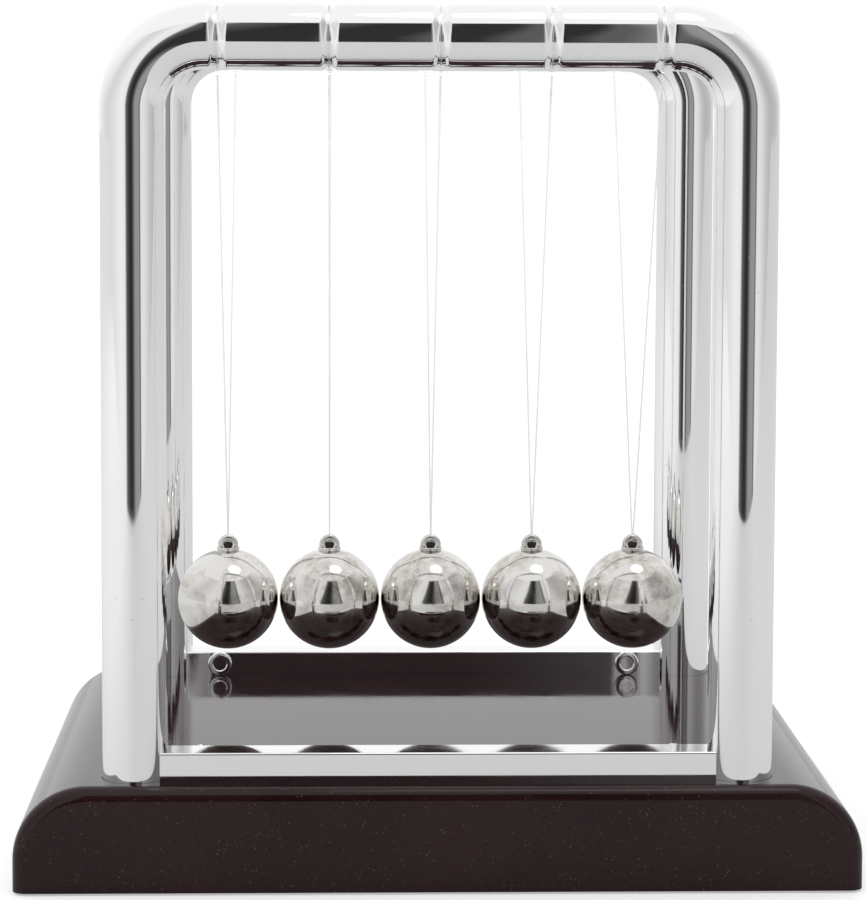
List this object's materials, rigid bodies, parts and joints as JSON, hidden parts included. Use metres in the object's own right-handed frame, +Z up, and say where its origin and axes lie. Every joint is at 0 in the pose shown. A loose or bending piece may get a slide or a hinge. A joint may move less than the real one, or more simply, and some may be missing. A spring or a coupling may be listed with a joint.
{
  "type": "newtons cradle",
  "caption": "Desk cradle: polished balls hang on V-shaped threads between two chrome tube arches on a rounded dark plastic base.",
  "frame": {"origin": "middle of the footprint, on the surface that the foot pads stand on", "axes": "+Z up, +X to the right along the row of balls, +Y to the rear"},
  "size_m": [0.14, 0.11, 0.1455],
  "materials": {
    "base_plastic": "moulded, very dark brown, satin gloss with fine light specks",
    "cover_plastic": "moulded, fine matt texture",
    "ballast_steel": "raw cut plate",
    "screw_steel": "zinc plated",
    "pad_rubber": "matt",
    "chrome_tube": "bright chrome plate",
    "chrome_bar": "bright chrome plate, lightly marked",
    "nylon_thread": "clear monofilament",
    "ball_steel": "polished steel, faintly smudged",
    "eyelet_steel": "polished steel"
  },
  "bodies": {
    "stand": {"base_shell": "base_plastic", "bottom_cover": "cover_plastic", "post_plug_front_left": "cover_plastic", "post_plug_front_right": "cover_plastic", "post_plug_rear_left": "cover_plastic", "post_plug_rear_right": "cover_plastic", "ballast_plate": "ballast_steel", "cover_screws": "screw_steel", "ballast_screws": "screw_steel", "arch_screws": "screw_steel", "crossbar_screws": "screw_steel", "foot_pad_front_left": "pad_rubber", "foot_pad_front_right": "pad_rubber", "foot_pad_rear_left": "pad_rubber", "foot_pad_rear_right": "pad_rubber", "front_arch": "chrome_tube", "rear_arch": "chrome_tube", "front_crossbar": "chrome_bar", "rear_crossbar": "chrome_bar", "front_thread_loops": "nylon_thread", "rear_thread_loops": "nylon_thread"},
    "pendulum_1": {"ball_1": "ball_steel", "eyelet_1": "eyelet_steel", "string_1": "nylon_thread"},
    "pendulum_2": {"ball_2": "ball_steel", "eyelet_2": "eyelet_steel", "string_2": "nylon_thread"},
    "pendulum_3": {"ball_3": "ball_steel", "eyelet_3": "eyelet_steel", "string_3": "nylon_thread"},
    "pendulum_4": {"ball_4": "ball_steel", "eyelet_4": "eyelet_steel", "string_4": "nylon_thread"},
    "pendulum_5": {"ball_5": "ball_steel", "eyelet_5": "eyelet_steel", "string_5": "nylon_thread"}
  },
  "joints": [
    {"name": "ball_1_swing", "type": "hinge", "parent": "stand", "child": "pendulum_1", "pos_m": [-0.0364, 0, 0.13425], "axis": [0, 1, 0], "range_deg": [0, 60]},
    {"name": "ball_2_swing", "type": "hinge", "parent": "stand", "child": "pendulum_2", "pos_m": [-0.0182, 0, 0.13425], "axis": [0, 1, 0], "range_deg": [-0.04, 0.04]},
    {"name": "ball_3_swing", "type": "hinge", "parent": "stand", "child": "pendulum_3", "pos_m": [0, 0, 0.13425], "axis": [0, 1, 0], "range_deg": [-0.04, 0.04]},
    {"name": "ball_4_swing", "type": "hinge", "parent": "stand", "child": "pendulum_4", "pos_m": [0.0182, 0, 0.13425], "axis": [0, 1, 0], "range_deg": [-0.04, 0.04]},
    {"name": "ball_5_swing", "type": "hinge", "parent": "stand", "child": "pendulum_5", "pos_m": [0.0364, 0, 0.13425], "axis": [0, -1, 0], "range_deg": [0, 60]}
  ]
}
